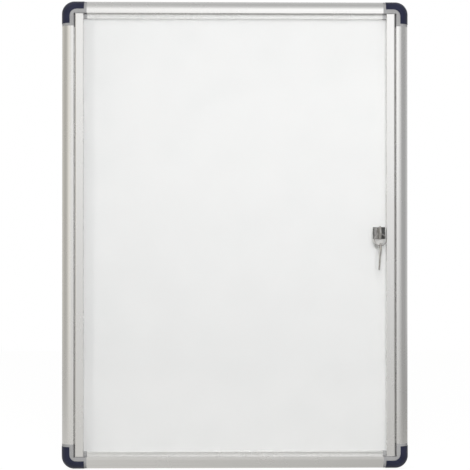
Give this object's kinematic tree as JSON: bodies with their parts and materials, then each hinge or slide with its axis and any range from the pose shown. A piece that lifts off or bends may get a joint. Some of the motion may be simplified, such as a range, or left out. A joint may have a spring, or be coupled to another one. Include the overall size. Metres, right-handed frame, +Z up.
{
  "type": "notice board display case",
  "caption": "Shallow lockable wall case with an aluminium frame, dark moulded corners, a white steel-faced board and a clear hinged door with a cam lock and keys.",
  "frame": {"origin": "centre of the rear face that lies on the wall, midway between the wall screws", "axes": "+X to the right as seen from the front, +Y back into the wall, +Z up"},
  "size_m": [0.5, 0.0665, 0.674],
  "materials": {
    "anodised_aluminium": "satin silver anodised extrusion",
    "corner_grey": "fine grained grey moulding",
    "corner_navy": "dark blue moulding with a soft sheen",
    "board_white": "white lacquered steel, semi gloss",
    "board_core": "plain core board",
    "backing_steel": "zinc coated sheet",
    "clear_acrylic": "clear polished pane",
    "gasket_grey": "soft grey glazing strip",
    "soft_rubber": "dark soft rubber",
    "plug_grey": "grey moulding",
    "pin_steel": "ground steel",
    "screw_zinc": "bright zinc plate",
    "lock_satin": "satin nickel plate",
    "lock_chrome": "polished dark chrome",
    "wafer_brass": "stamped brass",
    "key_nickel": "nickel plated, lightly worn",
    "ring_steel": "drawn steel wire"
  },
  "bodies": {
    "case": {"frame_top": "anodised_aluminium", "frame_bottom": "anodised_aluminium", "frame_left": "anodised_aluminium", "frame_right": "anodised_aluminium", "frame_screws": "screw_zinc", "corner_top_left": "corner_grey", "corner_top_right": "corner_grey", "corner_bottom_left": "corner_grey", "corner_bottom_right": "corner_grey", "corner_cap_top_left": "corner_navy", "corner_cap_top_right": "corner_navy", "corner_cap_bottom_left": "corner_navy", "corner_cap_bottom_right": "corner_navy", "board_backing": "backing_steel", "board_core": "board_core", "board_face": "board_white", "door_buffers": "soft_rubber"},
    "door": {"hinge_stile": "anodised_aluminium", "lock_stile": "anodised_aluminium", "door_pane": "clear_acrylic", "glazing_gasket_left": "gasket_grey", "glazing_gasket_right": "gasket_grey", "hinge_plug_top": "plug_grey", "hinge_plug_bottom": "plug_grey", "hinge_pin_top": "pin_steel", "hinge_pin_bottom": "pin_steel", "lock_stile_plug_top": "plug_grey", "lock_stile_plug_bottom": "plug_grey", "lock_plate": "lock_satin", "lock_housing": "lock_chrome", "lock_washer": "soft_rubber", "lock_nut": "screw_zinc"},
    "lock_plug": {"lock_plug": "lock_chrome", "lock_wafers": "wafer_brass", "lock_cam": "screw_zinc", "cam_screw": "screw_zinc"},
    "key": {"door_key": "key_nickel"},
    "ring": {"key_ring": "ring_steel"},
    "spare": {"spare_key": "key_nickel"}
  },
  "joints": [
    {"name": "door_hinge", "type": "hinge", "parent": "case", "child": "door", "pos_m": [-0.22645, -0.03045, 0], "axis": [0, 0, -1], "range_deg": [0, 100]},
    {"name": "lock_turn", "type": "hinge", "parent": "door", "child": "lock_plug", "pos_m": [0.20665, -0.0393, 0.0027], "axis": [0, -1, 0], "range_deg": [0, 90]},
    {"name": "key_pull", "type": "slide", "parent": "lock_plug", "child": "key", "axis": [0, -1, 0], "range_m": [0, 0.02]},
    {"name": "ring_swing", "type": "hinge", "parent": "key", "child": "ring", "pos_m": [0.20665, -0.0565, 0.00125], "axis": [-1, 0, 0], "range_deg": [-10, 70]},
    {"name": "spare_key_swing", "type": "hinge", "parent": "ring", "child": "spare", "pos_m": [0.20665, -0.0565, -0.01555], "axis": [-1, 0, 0], "range_deg": [-10, 60]}
  ]
}
